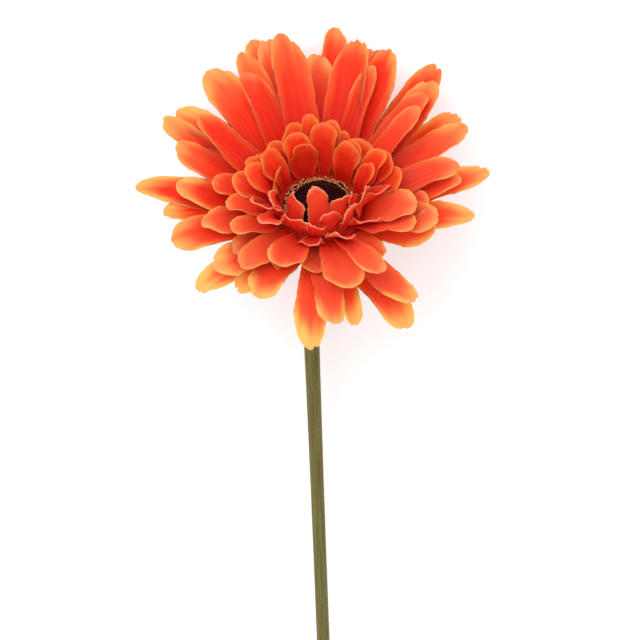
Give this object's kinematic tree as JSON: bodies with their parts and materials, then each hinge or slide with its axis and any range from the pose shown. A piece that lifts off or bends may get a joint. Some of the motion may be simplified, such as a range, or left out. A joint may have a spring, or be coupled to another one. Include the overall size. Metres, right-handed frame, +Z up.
{
  "type": "cut flower",
  "caption": "Cut gerbera lying on a table: a double orange daisy bloom with a dark eye, a green calyx and a long bare stem.",
  "frame": {"origin": "middle of the footprint of the lying flower, on the surface that it lies on", "axes": "+Z up; the stem runs from the bloom towards -Y and its cut end rests on the surface; the bloom is at +Y and faces up and towards +Y"},
  "size_m": [0.116, 0.415, 0.0875],
  "materials": {
    "petals": "soft satin petal, deep red at the foot, orange, yellow at the tip",
    "disc": "matt, very dark purple-brown",
    "anthers": "matt golden brown",
    "calyx": "matt leaf green with fine down",
    "stem": "satin olive green with fine down"
  },
  "bodies": {
    "root": {"petals": "petals", "disc": "disc", "anthers": "anthers", "calyx": "calyx", "stem": "stem"}
  },
  "joints": []
}
